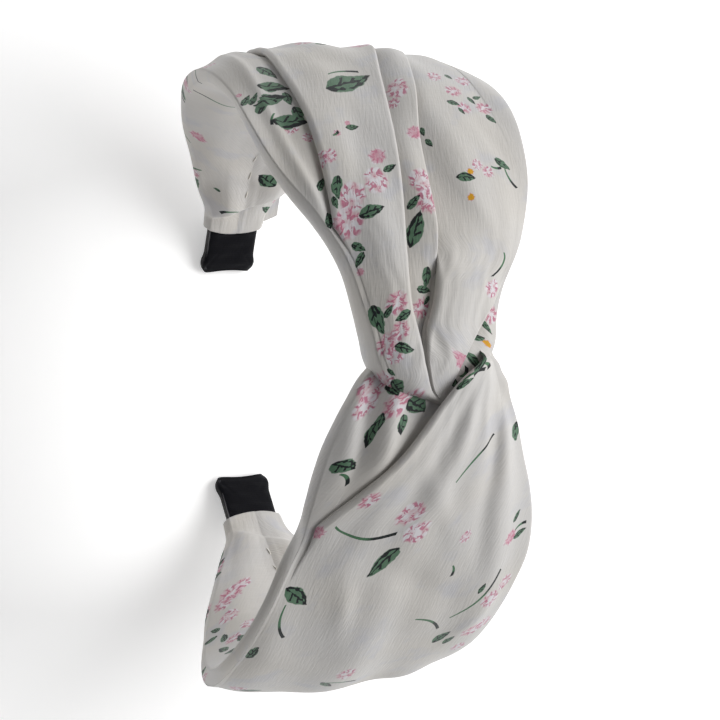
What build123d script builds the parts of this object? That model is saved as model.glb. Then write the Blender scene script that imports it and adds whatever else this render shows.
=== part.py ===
"""A knotted headband: a springy plastic hoop in a black satin cover, with two printed cloth strips
looped through each other over the crown and wrapped down both legs.

Millimetres. Z is up, X runs from ear to ear (the wearer's left is +X) and the wearer faces -Y.
The band stands on its two tips, and the origin is on the floor midway between them.
"""

from build123d import *
import math
import os

os.makedirs("parts", exist_ok=True)

# ---- driving dimensions -------------------------------------------------------------------

# The hoop's middle line, as one side of it runs from the crown to the tip.
CROWN_RADIUS = 74.0
CROWN_TURN = 40.0  # degrees of that radius on each side of the crown
SIDE_RADIUS = 59.0
SIDE_TURN = 107.0  # degrees round the ear, ending pointed inwards
TIP_STRAIGHT = 15.0

# The moulded strip and the satin wound over it.
CORE_THICK = 1.6
CORE_HALF_CROWN = 9.5  # half width in Y over the crown
CORE_HALF_TIP = 6.3
NARROW_FROM = 95.0  # height at which the strip starts to narrow
NARROW_TO = 22.0
SATIN_THICK = 0.4

# The ribbon folded over each end of the covered strip.
END_RIBBON_THICK = 0.5
END_RIBBON_LENGTH = 17.0  # measured up from the tip

# The cloth is wrapped with this much room round the satin, which hot glue fills at the cuffs.
CHANNEL_ROOM = 0.8
FIT_GAP = 0.05  # between pieces that touch
CUFF_AT = 12.5  # the cloth stops this far short of the tip
GLUE_LENGTH = 6.0
GLUE_THICK = 0.6

# Each leg flexes in one place; the solids are cut there.
FLEX_AT = 41.0  # distance along the hoop from the crown
HOOP_CUT = 0.8
CLOTH_CUT = 3.2

# The wrapped cloth: (distance along the hoop from the crown, front edge Y, back edge Y, depth of
# its outer face and of its inner face from the hoop's middle line). The wearer's right side keeps
# its width down to the ear; the left side is widest at the front edge, just below the knot.
RIGHT_CLOTH = [
    (7.0, -13.5, 14.0, 12.0, 4.4),
    (20.0, -17.5, 20.5, 8.5, 4.2),
    (40.0, -26.5, 31.0, 6.6, 3.8),
    (65.0, -31.0, 35.5, 8.0, 3.4),
    (92.0, -30.0, 33.0, 8.6, 3.2),
    (120.0, -24.0, 25.0, 6.6, 3.2),
    (140.0, -16.5, 16.5, 4.6, 3.2),
    (165.0, -9.0, 9.0, 3.2, 3.0),
]
LEFT_CLOTH = [
    (7.0, -14.0, 14.5, 12.0, 4.4),
    (20.0, -21.0, 20.5, 8.5, 4.2),
    (40.0, -30.5, 26.0, 6.6, 3.8),
    (65.0, -35.5, 25.0, 8.0, 3.4),
    (92.0, -34.0, 23.0, 8.6, 3.2),
    (120.0, -27.0, 20.0, 6.6, 3.2),
    (140.0, -18.0, 15.5, 4.6, 3.2),
    (165.0, -9.0, 9.0, 3.2, 3.0),
]
SECTION_PITCH = 13.0  # between the cloth's sections
EDGE_ROUND = 0.45  # corner radius of a section, as a share of its thickness
CLOTH_START = 7.0  # the wrapped part begins this far from the crown

# The knot: each strip is gathered into a U that hooks round the other one's U.
BUNDLE_HALF_WIDTH = 3.3  # in the loop's own plane
BUNDLE_HALF_THICK = 2.1
LOOP_HALF = 8.4  # from the loop's middle to the middle of either leg
LOOP_LEAN = 22.0  # degrees; the two loops lean opposite ways
LOOP_GAP = 0.9  # between the two bundles where their bends meet
KNOT_LIFT = 0.3  # clear of the thread below it
LOOP_LEG_END = 9.0  # how far the legs reach into their own strip, from the crown

# Thread.
THREAD_RADIUS = 0.25
STITCH_LENGTH = 2.6
STITCH_PITCH = 6.0
SEAM_FROM = 50.0
SEAM_TO = 158.0
STITCH_LIFT = 0.2  # clear of the cloth's inner face
TACK_PITCH = 1.4
TACK_TURNS = 3

# ---- the middle line ----------------------------------------------------------------------

CROWN_ARC = CROWN_RADIUS * math.radians(CROWN_TURN)
SIDE_ARC = SIDE_RADIUS * math.radians(SIDE_TURN)
HOOP_END = CROWN_ARC + SIDE_ARC + TIP_STRAIGHT
END_TURN = CROWN_TURN + SIDE_TURN
COVERED = CORE_THICK / 2 + SATIN_THICK  # from the middle line to the outside of the satin
CAPPED = COVERED + FIT_GAP + END_RIBBON_THICK


def cosine(degrees):
    return math.cos(math.radians(degrees))


def sine(degrees):
    return math.sin(math.radians(degrees))


# Height of the middle line at the crown, which puts the lowest edge of the tips on the floor.
CROWN_Z = (
    CROWN_RADIUS * (1 - cosine(CROWN_TURN))
    + SIDE_RADIUS * (cosine(CROWN_TURN) - cosine(END_TURN))
    + (TIP_STRAIGHT + FIT_GAP + END_RIBBON_THICK) * sine(END_TURN)
    - CAPPED * cosine(END_TURN)
)


def station(along):
    """x, z and turn in degrees of the middle line on the +X side, that far from the crown."""
    turn = math.degrees(min(along, CROWN_ARC) / CROWN_RADIUS)
    x = CROWN_RADIUS * sine(turn)
    z = CROWN_Z - CROWN_RADIUS * (1 - cosine(turn))
    past = min(max(0.0, along - CROWN_ARC), SIDE_ARC)
    end = turn + math.degrees(past / SIDE_RADIUS)
    x += SIDE_RADIUS * (sine(end) - sine(turn))
    z -= SIDE_RADIUS * (cosine(turn) - cosine(end))
    straight = max(0.0, along - CROWN_ARC - SIDE_ARC)
    return x + straight * cosine(end), z - straight * sine(end), end


def offset_point(along, outwards):
    """A point of the middle line moved outwards, in the XZ plane."""
    x, z, turn = station(along)
    return x + outwards * sine(turn), z + outwards * cosine(turn)


def section_plane(along, y=0.0, outwards=0.0):
    """The plane square to the hoop there. Its x is outwards and its y is across the band."""
    x, z = offset_point(along, outwards)
    turn = station(along)[2]
    return Plane(
        origin=(x, y, z),
        x_dir=(sine(turn), 0, cosine(turn)),
        z_dir=(-cosine(turn), 0, sine(turn)),
    )


def draw_long_edge(start, end, outwards):
    """One long edge of a strip's side view: tangent arcs and a straight tip."""
    bends = [CROWN_ARC, CROWN_ARC + SIDE_ARC]
    stops = [start, *[bend for bend in bends if start < bend < end], end]
    for begin, stop in zip(stops, stops[1:]):
        near, far = offset_point(begin, outwards), offset_point(stop, outwards)
        if begin >= bends[1]:
            Line(near, far)
        else:
            ThreePointArc(near, offset_point((begin + stop) / 2, outwards), far)


def strip(start, end, half_thick, wider):
    """A stretch of the tapered strip on the +X side, as wide as the core plus `wider`."""
    crown, tip = CORE_HALF_CROWN + wider, CORE_HALF_TIP + wider
    top, bottom = CROWN_Z + half_thick + 1, -1.0
    with BuildPart() as made:
        with BuildSketch(Plane.XZ):
            with BuildLine():
                draw_long_edge(start, end, -half_thick)
                draw_long_edge(start, end, half_thick)
                Line(offset_point(start, -half_thick), offset_point(start, half_thick))
                Line(offset_point(end, -half_thick), offset_point(end, half_thick))
            make_face()
        extrude(amount=crown, both=True)
        with BuildSketch(Plane.YZ):
            with BuildLine():
                for side in (1, -1):
                    Polyline((0, top), (side * crown, top), (side * crown, NARROW_FROM))
                    Spline(
                        (side * crown, NARROW_FROM),
                        (side * tip, NARROW_TO),
                        tangents=[(0, -1), (0, -1)],
                    )
                    Polyline((side * tip, NARROW_TO), (side * tip, bottom), (0, bottom))
            make_face()
        extrude(amount=CROWN_Z, both=True, mode=Mode.INTERSECT)
    return made.part


def sleeve(start, end, half_thick, wider, inner_half_thick, inner_wider):
    """A stretch of the strip with a smaller strip taken out of it."""
    with BuildPart() as made:
        add(strip(start, end, half_thick, wider))
        add(strip(start - 1, end + 1, inner_half_thick, inner_wider), mode=Mode.SUBTRACT)
    return made.part


def cloth_size(table, along):
    """Front edge, back edge, outer depth and inner depth of the wrapped cloth at a station."""
    for near, far in zip(table, table[1:]):
        if along <= far[0]:
            share = (along - near[0]) / (far[0] - near[0])
            return [a + (b - a) * share for a, b in zip(near[1:], far[1:])]
    return table[-1][1:]


def wrapped_cloth(table, start, end):
    """The cloth between two stations on the +X side: a flattened tube round the hoop's channel."""
    spans = round((end - start) / SECTION_PITCH) + 1
    with BuildPart() as made:
        for number in range(spans + 1):
            along = start + (end - start) * number / spans
            front, back, outer, inner = cloth_size(table, along)
            thick = outer + inner
            with BuildSketch(section_plane(along, (front + back) / 2, (outer - inner) / 2)):
                RectangleRounded(thick, back - front, EDGE_ROUND * thick)
        loft()
        channel = strip(
            start - 1, end + 1, COVERED + CHANNEL_ROOM, SATIN_THICK + CHANNEL_ROOM
        )
        add(channel, mode=Mode.SUBTRACT)
    return made.part


def knot_loop(lean):
    """The U of one strip at the knot, opening to +X, on a plane that leans about X."""
    half_height = (LOOP_HALF + BUNDLE_HALF_WIDTH) * sine(LOOP_LEAN) + BUNDLE_HALF_THICK / 2
    knot_z = CROWN_Z + COVERED + 2 * THREAD_RADIUS + KNOT_LIFT + half_height
    bend_x = LOOP_HALF - BUNDLE_HALF_WIDTH - LOOP_GAP / 2
    leaning = Plane(origin=(0, 0, knot_z), x_dir=(1, 0, 0), z_dir=(0, -sine(lean), cosine(lean)))
    with BuildPart() as made:
        with BuildLine(leaning) as path:
            Line((LOOP_LEG_END, LOOP_HALF), (bend_x, LOOP_HALF))
            CenterArc((bend_x, 0), LOOP_HALF, 90, 180)
            Line((bend_x, -LOOP_HALF), (LOOP_LEG_END, -LOOP_HALF))
        leg_end = Plane(origin=path.wire() @ 0, x_dir=leaning.y_dir, z_dir=path.wire() % 0)
        with BuildSketch(leg_end):
            Ellipse(BUNDLE_HALF_WIDTH, BUNDLE_HALF_THICK)
        sweep(path=path.wire())
    return made.part


def seam(table):
    """The stitches that close the cloth's long seam, in a row down the inner face of the leg."""
    count = int((SEAM_TO - SEAM_FROM) / STITCH_PITCH) + 1
    places = [SEAM_FROM + STITCH_PITCH * number for number in range(count)]
    planes = [
        section_plane(along, 0, -cloth_size(table, along)[3] - THREAD_RADIUS - STITCH_LIFT)
        for along in places
    ]
    with BuildPart() as made:
        with Locations(*planes):
            Cylinder(THREAD_RADIUS, STITCH_LENGTH)
    return made.part


def write(part, name):
    part.label = name
    export_step(part, f"parts/{name}.step")


# ---- the crown ----------------------------------------------------------------------------

HOOP_BEFORE = FLEX_AT - HOOP_CUT / 2
HOOP_AFTER = FLEX_AT + HOOP_CUT / 2
CLOTH_BEFORE = FLEX_AT - CLOTH_CUT / 2
CLOTH_AFTER = FLEX_AT + CLOTH_CUT / 2
CUFF = HOOP_END - CUFF_AT

# Middle of the springy moulded strip.
with BuildPart() as hoop_crown:
    add(strip(0, HOOP_BEFORE, CORE_THICK / 2, 0))
    mirror(about=Plane.YZ)
write(hoop_crown.part, "hoop_crown")

# Satin ribbon wound over it.
with BuildPart() as satin_crown:
    add(sleeve(0, HOOP_BEFORE, COVERED, SATIN_THICK, CORE_THICK / 2, 0))
    mirror(about=Plane.YZ)
write(satin_crown.part, "satin_crown")

# Thread that binds the underside of the knot to the covered hoop.
with BuildPart() as knot_thread:
    bound_width = 2 * (CORE_HALF_CROWN + SATIN_THICK + FIT_GAP)
    bound_height = 2 * (COVERED + FIT_GAP)
    round_hoop = Plane(origin=(0, 0, CROWN_Z), x_dir=(0, 1, 0), z_dir=(1, 0, 0))
    with BuildSketch(round_hoop):
        RectangleRounded(
            bound_width + 4 * THREAD_RADIUS, bound_height + 4 * THREAD_RADIUS, THREAD_RADIUS
        )
        Rectangle(bound_width, bound_height, mode=Mode.SUBTRACT)
    turn = extrude(amount=THREAD_RADIUS, both=True, mode=Mode.PRIVATE)
    with GridLocations(TACK_PITCH, TACK_PITCH, TACK_TURNS, 1):
        add(turn)
write(knot_thread.part, "knot_thread")

# The part of each cloth strip over the crown, with the U that hooks round the other strip.
with BuildPart() as cloth_left_crown:
    add(wrapped_cloth(LEFT_CLOTH, CLOTH_START, CLOTH_BEFORE))
    add(knot_loop(LOOP_LEAN))
write(cloth_left_crown.part, "cloth_left_crown")

with BuildPart() as cloth_right_crown:
    add(wrapped_cloth(RIGHT_CLOTH, CLOTH_START, CLOTH_BEFORE))
    add(knot_loop(-LOOP_LEAN))
    mirror(about=Plane.YZ, mode=Mode.REPLACE)
write(cloth_right_crown.part, "cloth_right_crown")

# ---- the legs -----------------------------------------------------------------------------

# Each piece is made on the +X side, which is the wearer's left, and mirrored for the other side.
for side, table in (("left", LEFT_CLOTH), ("right", RIGHT_CLOTH)):
    # Springy moulded strip, down to the tip.
    with BuildPart() as hoop_leg:
        add(strip(HOOP_AFTER, HOOP_END, CORE_THICK / 2, 0))

    # Satin ribbon wound over it.
    with BuildPart() as satin_leg:
        add(sleeve(HOOP_AFTER, HOOP_END, COVERED, SATIN_THICK, CORE_THICK / 2, 0))

    # Ribbon folded over the end of the strip, and left showing below the cuff.
    end_start = HOOP_END - END_RIBBON_LENGTH
    end_stop = HOOP_END + FIT_GAP + END_RIBBON_THICK
    inside = SATIN_THICK + FIT_GAP
    with BuildPart() as end_ribbon:
        add(strip(end_start, end_stop, CAPPED, inside + END_RIBBON_THICK))
        add(strip(end_start - 1, HOOP_END + FIT_GAP, COVERED + FIT_GAP, inside), mode=Mode.SUBTRACT)

    # Printed cloth strip, down to its turned-in cuff.
    with BuildPart() as cloth_leg:
        add(wrapped_cloth(table, CLOTH_AFTER, CUFF))

    # Thread of the long seam on the inner face.
    with BuildPart() as seam_thread:
        add(seam(table))

    # Hot glue between the satin and the inside of the cloth, just above the end ribbon.
    glue_stop = end_start - FIT_GAP
    glue_inside = COVERED + FIT_GAP
    with BuildPart() as glue:
        add(
            sleeve(
                glue_stop - GLUE_LENGTH,
                glue_stop,
                glue_inside + GLUE_THICK,
                inside + GLUE_THICK,
                glue_inside,
                inside,
            )
        )

    pieces = {
        f"hoop_{side}_leg": hoop_leg,
        f"satin_{side}_leg": satin_leg,
        f"end_ribbon_{side}": end_ribbon,
        f"cloth_{side}_leg": cloth_leg,
        f"seam_thread_{side}": seam_thread,
        f"glue_{side}": glue,
    }
    for name, piece in pieces.items():
        placed = piece.part if side == "left" else mirror(piece.part, about=Plane.YZ)
        write(placed, name)
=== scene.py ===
import math
import random

import bpy
import numpy as np
from mathutils import Matrix, Vector


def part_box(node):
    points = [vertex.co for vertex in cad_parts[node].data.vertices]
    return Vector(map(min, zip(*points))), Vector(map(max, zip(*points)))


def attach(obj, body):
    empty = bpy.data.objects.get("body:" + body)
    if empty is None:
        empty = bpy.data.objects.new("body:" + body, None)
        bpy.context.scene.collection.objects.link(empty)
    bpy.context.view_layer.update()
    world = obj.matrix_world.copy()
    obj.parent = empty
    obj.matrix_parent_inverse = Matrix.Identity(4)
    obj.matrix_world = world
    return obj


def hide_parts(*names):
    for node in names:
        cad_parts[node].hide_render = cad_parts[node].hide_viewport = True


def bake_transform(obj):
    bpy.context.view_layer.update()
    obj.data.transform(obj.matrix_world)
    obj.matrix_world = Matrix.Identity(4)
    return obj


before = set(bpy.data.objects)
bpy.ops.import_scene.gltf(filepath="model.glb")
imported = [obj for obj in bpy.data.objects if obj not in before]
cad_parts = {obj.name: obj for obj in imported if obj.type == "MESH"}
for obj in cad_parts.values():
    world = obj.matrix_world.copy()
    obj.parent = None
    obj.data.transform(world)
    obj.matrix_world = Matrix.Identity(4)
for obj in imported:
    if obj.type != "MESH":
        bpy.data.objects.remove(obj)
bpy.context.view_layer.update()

# ---- The sprung hoop ----------------------------------------------------------------------
# A flat moulded plastic band bent to a horseshoe, the springy core that grips the head. It is
# closed in by its cover, so its line is also what every other piece is laid out along: a distance
# from the crown (plus to the wearer's left), a height off its middle line, a place across it.
MM = 0.001
CROWN_RADIUS = 74.0
CROWN_TURN = math.radians(40.0)
SIDE_RADIUS = 59.0
SIDE_TURN = math.radians(107.0)
CROWN_ARC = CROWN_RADIUS * CROWN_TURN
SIDE_ARC = SIDE_RADIUS * SIDE_TURN
HOOP_END = CROWN_ARC + SIDE_ARC + 15.0
COVERED = 1.2  # from the middle line to the outside of the satin
CROWN_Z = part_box("satin_crown")[1][2] / MM - COVERED
BODIES = {-1: "right_leg", 1: "left_leg"}
SIDES = {-1: "right", 1: "left"}


def on_hoop(along, height, across):
    """Points in metres from hoop coordinates in millimetres; the three may be arrays."""
    along, height, across = np.broadcast_arrays(
        np.asarray(along, float), np.asarray(height, float), np.asarray(across, float)
    )
    side = np.where(along < 0, -1.0, 1.0)
    far = np.abs(along)
    first = np.minimum(far, CROWN_ARC) / CROWN_RADIUS
    x = CROWN_RADIUS * np.sin(first)
    z = CROWN_Z - CROWN_RADIUS * (1 - np.cos(first))
    turn = first + np.clip(far - CROWN_ARC, 0, SIDE_ARC) / SIDE_RADIUS
    x = x + SIDE_RADIUS * (np.sin(turn) - np.sin(first))
    z = z - SIDE_RADIUS * (np.cos(first) - np.cos(turn))
    rest = np.maximum(far - CROWN_ARC - SIDE_ARC, 0)
    x = x + rest * np.cos(turn) + height * np.sin(turn)
    z = z - rest * np.sin(turn) + height * np.cos(turn)
    return np.stack([side * x, across, z], -1) * MM


def linear(code):
    """An sRGB hex colour as linear RGBA."""
    parts = [int(code[k : k + 2], 16) / 255 for k in (0, 2, 4)]
    return (*[c / 12.92 if c <= 0.04045 else ((c + 0.055) / 1.055) ** 2.4 for c in parts], 1.0)


def add(tree, kind, inputs=None, **settings):
    """Adds a node with its settings, and gives each input a value or a link."""
    node = tree.nodes.new("ShaderNode" + kind)
    for name, value in settings.items():
        setattr(node, name, value)
    for socket, value in (inputs or {}).items():
        if isinstance(value, bpy.types.Node):
            value = value.outputs[0]
        if isinstance(value, bpy.types.NodeSocket):
            tree.links.new(value, node.inputs[socket])
        else:
            node.inputs[socket].default_value = value
    return node


def new_material(name):
    """An empty material with a Principled shader, its node tree and that shader."""
    material = bpy.data.materials.new(name)
    material.use_nodes = True
    return material, material.node_tree, material.node_tree.nodes["Principled BSDF"]


def connect(tree, shader, **inputs):
    """Links nodes to the shader's sockets, given with _ for a space."""
    for socket, node in inputs.items():
        tree.links.new(node.outputs[0], shader.inputs[socket.replace("_", " ")])


def dress(nodes, material):
    """Gives CAD nodes a material in place of their plain one."""
    for name in nodes:
        mesh_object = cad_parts[name]
        mesh_object.data.materials.clear()
        mesh_object.data.materials.append(material)


# Moulded polypropylene: a dull black plastic with a fine even grain from the mould.
MOULD_GRAIN = 0.35  # mm
moulded_plastic, tree, shader = new_material("polypropylene_moulded")
place = add(tree, "TexCoord").outputs["Object"]
grain = add(tree, "TexNoise", {"Vector": place, "Scale": 1 / (MOULD_GRAIN * MM), "Detail": 3.0})
cloudy = add(tree, "TexNoise", {"Vector": place, "Scale": 120.0})
tone = add(tree, "MixRGB", {"Fac": cloudy, "Color1": linear("17181A"), "Color2": linear("232427")})
rough = add(tree, "MapRange", {"Value": cloudy, "To Min": 0.42, "To Max": 0.55})
bump = add(tree, "Bump", {"Height": grain, "Strength": 0.25, "Distance": 0.00005})
shader.inputs["IOR"].default_value = 1.49
connect(tree, shader, Base_Color=tone, Roughness=rough, Normal=bump)
dress(["hoop_crown", "hoop_right_leg", "hoop_left_leg"], moulded_plastic)

# ---- The satin cover ----------------------------------------------------------------------
# Black polyester satin ribbon glued over the plastic from crown to tips, so that the cloth has
# something to hold on to. It shows only as a dark sliver inside the cuffs.
SATIN_FLOAT = 0.3  # mm between the warp floats, drawn coarser than the real 0.1
woven_satin, tree, shader = new_material("polyester_satin_woven")
place = add(tree, "TexCoord").outputs["Object"]
floats = add(tree, "Mapping", {"Vector": place, "Scale": (300.0, 1 / (SATIN_FLOAT * MM), 300.0)})
threads = add(tree, "TexNoise", {"Vector": floats, "Scale": 1.0, "Detail": 2.0})
tone = add(tree, "MixRGB", {"Fac": threads, "Color1": linear("0E0E13"), "Color2": linear("20212B")})
rough = add(tree, "MapRange", {"Value": threads, "To Min": 0.3, "To Max": 0.42})
bump = add(tree, "Bump", {"Height": threads, "Strength": 0.3, "Distance": 0.00006})
shader.inputs["Sheen Weight"].default_value = 0.2
shader.inputs["Anisotropic"].default_value = 0.4
connect(tree, shader, Base_Color=tone, Roughness=rough, Normal=bump)
dress(["satin_crown", "satin_right_leg", "satin_left_leg"], woven_satin)

# ---- The ribbon ends ----------------------------------------------------------------------
# A short length of black ribbed ribbon is folded over each tip, from the outer face round to the
# inner one, and glued. Its corners stand out as small points, and the end between them is drawn in.
RIBBON_FROM = HOOP_END - 17.0
RIBBON_TO = HOOP_END + 1.3
RIBBON_HALF = 6.75
RIBBON_THICK = 1.72  # half the folded end, hoop and cover included
RIBBON_ROWS = 60
RIBBON_AROUND = 112


def curve(*points):
    """A smooth function through (x, y) points, level beyond the first and last."""
    x, y = np.array(points, float).T
    slope = np.gradient(y, x)

    def at(value):
        value = np.clip(value, x[0], x[-1])
        k = np.clip(np.searchsorted(x, value) - 1, 0, len(x) - 2)
        width = x[k + 1] - x[k]
        t = (value - x[k]) / width
        rise = (2 * t**3 - 3 * t**2 + 1) * y[k] + (3 * t**2 - 2 * t**3) * y[k + 1]
        return rise + width * ((t**3 - 2 * t**2 + t) * slope[k] + (t**3 - t**2) * slope[k + 1])

    return at


def ease(value, low, high):
    """0 below low, 1 above high, smooth between."""
    t = np.clip((value - low) / (high - low), 0, 1)
    return t * t * (3 - 2 * t)


def mesh_piece(name, points, faces):
    """A smooth mesh object from points in metres."""
    mesh = bpy.data.meshes.new(name)
    mesh.from_pydata(np.asarray(points).reshape(-1, 3).tolist(), [], faces)
    mesh.update()
    mesh.shade_smooth()
    piece = bpy.data.objects.new(name, mesh)
    bpy.context.scene.collection.objects.link(piece)
    return piece


# How much wider the folded end is than the rest, by distance back from it.
RIBBON_FLARE = curve((0, -0.4), (1.2, 0.45), (2.6, 0.75), (5, 0.3), (9, 0.05), (14, 0))


def ribbon_end(side):
    """The folded ribbon as rings round the tip, drawn in to a flat fold at the end."""
    turn = np.linspace(0, 2 * math.pi, RIBBON_AROUND, endpoint=False)
    wide = np.sign(np.cos(turn)) * np.abs(np.cos(turn)) ** 0.45
    high = np.sign(np.sin(turn)) * np.abs(np.sin(turn)) ** 0.45
    rings = []
    for along in np.linspace(RIBBON_FROM, RIBBON_TO, RIBBON_ROWS):
        left = RIBBON_TO - along
        half = RIBBON_HALF + float(RIBBON_FLARE(left))
        near_end = float(1 - ease(left, 0, 3.2))
        edge = np.abs(wide) ** 5
        thick = RIBBON_THICK * (1 - 0.15 * near_end) - 0.4 * near_end * edge
        # Two creases run from the corners up the face, as in a wrapped parcel.
        crease_at = 1.0 - 0.075 * left
        crease = np.exp(-(((np.abs(wide) - crease_at) / 0.07) ** 2)) * float(1 - ease(left, 5, 9))
        ripple = 0.07 * np.sin(wide * 5 + along * 0.9) + 0.05 * np.sin(along * 2.1 + side)
        height = high * (thick + ripple * ease(left, 0.5, 4)) - np.sign(high) * 0.12 * crease
        drawn_in = 0.85 * near_end * (1 - np.abs(wide) ** 2.2)
        rings.append(on_hoop(side * (along - drawn_in), height, half * wide))
    for shrink in (0.8, 0.45, 0.1):
        last = rings[RIBBON_ROWS - 1]
        flat = on_hoop(side * (RIBBON_TO - 0.3), 0, half * wide * 0.97)
        rings.append(flat + (last - flat) * shrink)
    faces = []
    for ring in range(len(rings) - 1):
        for k in range(RIBBON_AROUND):
            a = ring * RIBBON_AROUND + k
            b = ring * RIBBON_AROUND + (k + 1) % RIBBON_AROUND
            quad = (a, b, b + RIBBON_AROUND, a + RIBBON_AROUND)
            faces.append(quad if side < 0 else quad[::-1])
    # The last ring is nearly flat, so it is closed by strips between its upper and lower half.
    last = (len(rings) - 1) * RIBBON_AROUND
    for k in range(RIBBON_AROUND // 4):
        strip = [k, k + 1, -(k + 1) % RIBBON_AROUND, -k % RIBBON_AROUND]
        mirrored = [(RIBBON_AROUND // 2 - v) % RIBBON_AROUND for v in strip[::-1]]
        for ends in (strip, mirrored):
            faces.append(tuple(dict.fromkeys(last + v for v in ends)))
    return mesh_piece(f"ribbon_end_{SIDES[side]}", rings, faces)


# Grosgrain: fine crosswise ribs that catch a dull grey-blue light on a deep black.
RIB_PITCH = 0.55  # mm
ribbed_ribbon, tree, shader = new_material("polyester_grosgrain_woven")
place = add(tree, "Attribute", attribute_name="ribbon_mm")
parts = add(tree, "SeparateXYZ", {0: place.outputs["Vector"]})
across_rib = add(
    tree, "Math", {0: parts.outputs["Y"], 1: 2 * math.pi / RIB_PITCH}, operation="MULTIPLY"
)
ribs = add(tree, "Math", {0: across_rib}, operation="SINE")
wisps = add(tree, "Mapping", {"Vector": place.outputs["Vector"], "Scale": (3.0, 0.6, 1.0)})
fuzz = add(tree, "TexNoise", {"Vector": wisps, "Scale": 1.0, "Detail": 4.0})
dust = add(tree, "TexNoise", {"Vector": place.outputs["Vector"], "Scale": 0.25, "Detail": 2.0})
mixed = add(tree, "Math", {0: ribs, 1: 0.12, 2: fuzz}, operation="MULTIPLY_ADD")
tone = add(tree, "MixRGB", {"Fac": mixed, "Color1": linear("030305"), "Color2": linear("0C0D16")})
rough = add(tree, "MapRange", {"Value": dust, "To Min": 0.42, "To Max": 0.62})
bump = add(tree, "Bump", {"Height": mixed, "Strength": 0.55, "Distance": 0.00012})
shader.inputs["Specular IOR Level"].default_value = 0.14
shader.inputs["Sheen Weight"].default_value = 0.05
shader.inputs["Sheen Roughness"].default_value = 0.4
connect(tree, shader, Base_Color=tone, Roughness=rough, Normal=bump)

for side in (-1, 1):
    ribbon = ribbon_end(side)
    rings = len(ribbon.data.vertices) // RIBBON_AROUND
    across = np.array([vertex.co[1] / MM for vertex in ribbon.data.vertices])
    place_mm = np.zeros((rings, RIBBON_AROUND, 3))
    place_mm[:, :, 0] = across.reshape(rings, RIBBON_AROUND)
    place_mm[:, :, 1] = np.linspace(0, RIBBON_TO - RIBBON_FROM, rings)[:, None]
    spread = ribbon.data.attributes.new("ribbon_mm", "FLOAT_VECTOR", "POINT")
    spread.data.foreach_set("vector", place_mm.ravel())
    ribbon.data.materials.append(ribbed_ribbon)
    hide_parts(f"end_ribbon_{SIDES[side]}")
    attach(ribbon, BODIES[side])

# ---- The two printed cloth strips ---------------------------------------------------------
# Each is a wide tube of thin cream crepe, wrapped loosely round the covered hoop from a cuff near
# the tip up to the crown, where its pleats are gathered and it hooks round the other strip. The
# long edges meet in a seam on the inner face, and the cuffs are turned in and glued.
CUFF_AT = HOOP_END - 12.5
CUFF_HALF = 7.7
SEAM_LAP = 1.2
# Where the cloth would start to follow the leg as it flexes, and where it would follow it fully;
# points on the hoop are worked out from these below but not used.
BEND_FROM = 32.0
BEND_TO = 50.0
# The crosswise lines of the mesh are closer together where the folds crowd.
ROW_NEAR_KNOT = 0.45
ROW_STEP = 0.8
ROW_NEAR_CUFF = 0.55
FOLD_STEPS = 7
WALL_STEPS = 9
FAINT = 0.05  # what is left of a fold's radius where it has died away
# The turned edges: how far along from the edge, and how far inwards.
HEM = ((0.25, 0.16), (0.2, 0.34), (-0.6, 0.42), (-3.0, 0.46), (-5.0, 0.48))
KNOT_HEM = ((-0.25, 0.25), (-0.1, 0.7), (0.9, 1.1), (3.5, 1.5))


class Section:
    """One crosswise line of cloth, collected point by point: place across, height."""

    def __init__(self):
        self.points = []
        self.folds = []

    def panel(self, start, end, count, height, joined=False):
        """A stretch of cloth from start to end across, with its height given as a function."""
        for step in range(1 if joined else 0, count):
            across = start + (end - start) * step / (count - 1)
            self.points.append((across, float(height(across))))

    def fold(self, edge, top, radius, tuck, low, shown):
        """The cloth turns under at an edge towards the back, and comes out below."""
        self.folds.append((len(self.points), shown))
        middle = edge - radius
        for step in range(1, FOLD_STEPS):
            angle = math.pi * step / FOLD_STEPS
            drop = radius * (1 - math.cos(angle))
            self.points.append((middle + radius * math.sin(angle), top - drop))
        self.points.append((middle - tuck, (top - 2 * radius + low) / 2))

    def fold_up(self, edge, low, high, radius, tuck, shown):
        """The mirror of a fold: the cloth goes in low under the next panel and turns back up."""
        self.folds.append((len(self.points), shown))
        middle = edge + radius
        self.points.append((middle + tuck, (high - 2 * radius + low) / 2))
        for step in range(FOLD_STEPS - 1, 0, -1):
            angle = math.pi * step / FOLD_STEPS
            drop = radius * (1 - math.cos(angle))
            self.points.append((middle - radius * math.sin(angle), high - drop))

    def smooth_out(self):
        """Where a fold has died away, its points lie in line between the panels beside it."""
        for first, shown in self.folds:
            last = first + FOLD_STEPS
            before, after = np.array(self.points[first - 1]), np.array(self.points[last])
            keep = float(ease(shown, 0.0, 0.2))
            for k in range(first, last):
                level = before + (after - before) * (k - first + 1) / (FOLD_STEPS + 1)
                self.points[k] = tuple(keep * np.array(self.points[k]) + (1 - keep) * level)

    def wall(self, start, end, bulge):
        """The side of the tube, from (across, height) to (across, height), bowed by bulge."""
        for step in range(1, WALL_STEPS):
            t = step / WALL_STEPS
            across = start[0] + (end[0] - start[0]) * t + bulge * math.sin(math.pi * t)
            self.points.append((across, start[1] + (end[1] - start[1]) * t))


def dome(low, high, front, back, sharp=2.4):
    """Height across the outer face: `low` at both edges and `high` in the middle."""
    middle, half = (front + back) / 2, max((back - front) / 2, 0.01)

    def height(across):
        t = min(abs((across - middle) / half), 1.0)
        return low + (high - low) * (1 - t**sharp)

    return height


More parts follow.
